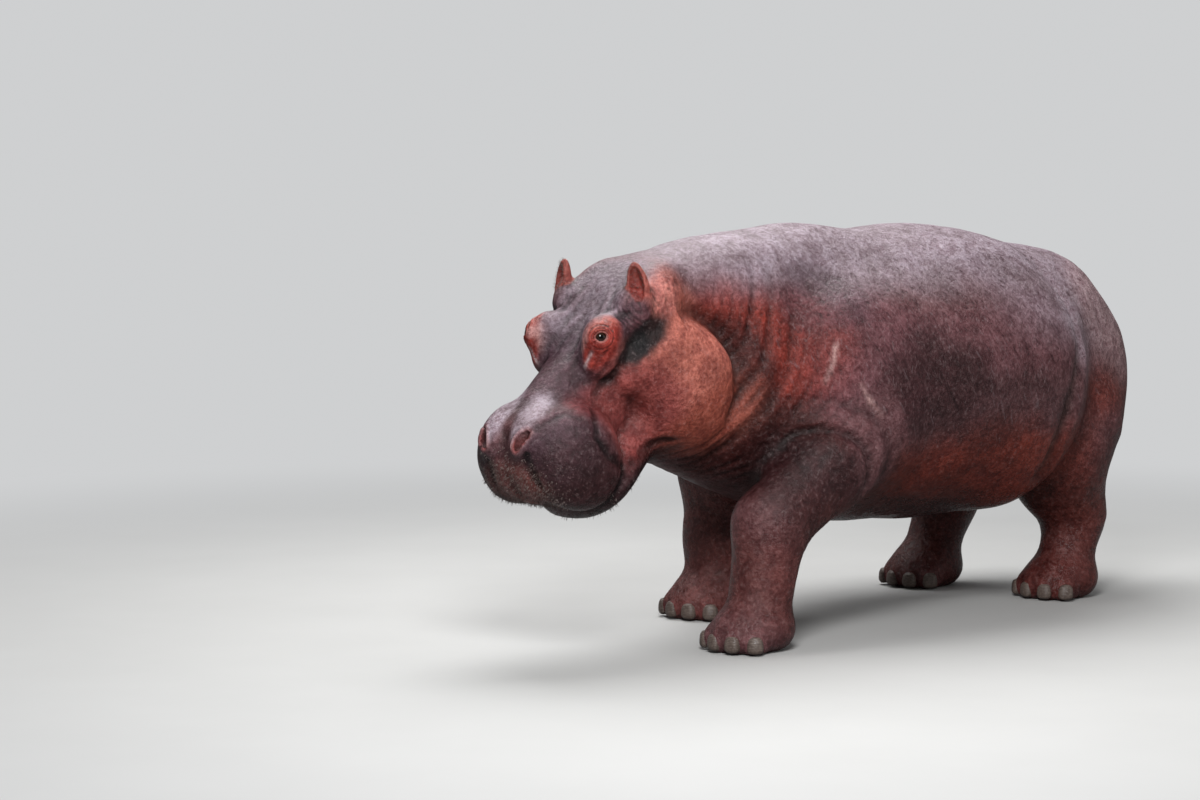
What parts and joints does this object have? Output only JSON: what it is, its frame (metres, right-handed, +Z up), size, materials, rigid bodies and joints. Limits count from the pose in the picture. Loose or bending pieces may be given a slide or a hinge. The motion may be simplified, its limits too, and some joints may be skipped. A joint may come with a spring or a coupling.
{
  "type": "hippopotamus",
  "caption": "Life-size standing hippopotamus, head lowered and one foreleg stepping forward, as a still model.",
  "frame": {"origin": "on the floor under the middle of the body's box", "axes": "-X ahead, the way the animal faces; +Y to its right side; +Z up"},
  "size_m": [3.4362, 1.2612, 1.507],
  "materials": {
    "skin": "bare hide, grey-mauve on the back, red-brown below, damp sheen",
    "ear_skin": "thin bare skin, pink inside",
    "eye": "wet, dark brown",
    "nail": "worn horn"
  },
  "bodies": {
    "root": {"trunk": "skin", "neck": "skin", "head": "skin", "tail": "skin", "foreleg_left": "skin", "foreleg_right": "skin", "hindleg_left": "skin", "hindleg_right": "skin", "ear_left": "ear_skin", "ear_right": "ear_skin", "eye_left": "eye", "eye_right": "eye", "nail_foreleg_left_1": "nail", "nail_foreleg_left_2": "nail", "nail_foreleg_left_3": "nail", "nail_foreleg_left_4": "nail", "nail_foreleg_right_1": "nail", "nail_foreleg_right_2": "nail", "nail_foreleg_right_3": "nail", "nail_foreleg_right_4": "nail", "nail_hindleg_left_1": "nail", "nail_hindleg_left_2": "nail", "nail_hindleg_left_3": "nail", "nail_hindleg_left_4": "nail", "nail_hindleg_right_1": "nail", "nail_hindleg_right_2": "nail", "nail_hindleg_right_3": "nail", "nail_hindleg_right_4": "nail"}
  },
  "joints": []
}
